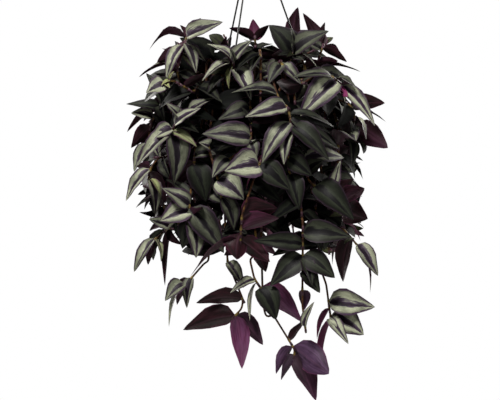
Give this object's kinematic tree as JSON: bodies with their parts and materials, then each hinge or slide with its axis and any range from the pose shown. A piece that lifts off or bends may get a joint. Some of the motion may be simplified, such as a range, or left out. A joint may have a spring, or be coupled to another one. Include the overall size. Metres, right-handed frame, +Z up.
{
  "type": "hanging potted tradescantia",
  "caption": "Trailing zebra tradescantia, striped above and purple below, spilling over a plain pot that hangs by dark strands from a hook.",
  "frame": {"origin": "the point inside the hook's bend that the ceiling's hook bears on", "axes": "+Z up along the plant's height, +X to the right in the front view, -Y towards the viewer of the front"},
  "size_m": [0.3869, 0.3541, 0.7425],
  "materials": {
    "hook": "near-black moulded hook, satin",
    "strand": "near-black coated strand, satin",
    "pot": "dark grey moulded pot, satin",
    "soil": "dark brown crumbly potting soil, matt",
    "foliage": "leaves silvery green with dark stripes above and purple below, reddish brown stems, satin"
  },
  "bodies": {
    "root": {"around_1": "foliage", "around_10": "foliage", "around_11": "foliage", "around_12": "foliage", "around_13": "foliage", "around_14": "foliage", "around_15": "foliage", "around_16": "foliage", "around_17": "foliage", "around_18": "foliage", "around_19": "foliage", "around_2": "foliage", "around_20": "foliage", "around_21": "foliage", "around_3": "foliage", "around_4": "foliage", "around_5": "foliage", "around_6": "foliage", "around_7": "foliage", "around_8": "foliage", "around_9": "foliage", "crown_back": "foliage", "crown_far_right": "foliage", "crown_left": "foliage", "crown_middle": "foliage", "crown_peak": "foliage", "crown_right": "foliage", "front_left_upper": "foliage", "front_long": "foliage", "front_right_long": "foliage", "front_upper": "foliage", "hook": "hook", "left_edge": "foliage", "left_low": "foliage", "left_lower": "foliage", "left_lowest": "foliage", "left_middle": "foliage", "left_tail": "foliage", "left_upper": "foliage", "left_young": "foliage", "low_middle": "foliage", "lowest": "foliage", "mid_left": "foliage", "pot": "pot", "right_edge": "foliage", "right_low": "foliage", "right_lowest": "foliage", "right_middle": "foliage", "right_shoulder": "foliage", "rising_1": "foliage", "rising_2": "foliage", "rising_3": "foliage", "rising_4": "foliage", "rising_5": "foliage", "rising_6": "foliage", "rising_7": "foliage", "soil": "soil", "strand_1": "strand", "strand_2": "strand", "strand_3": "strand"}
  },
  "joints": []
}
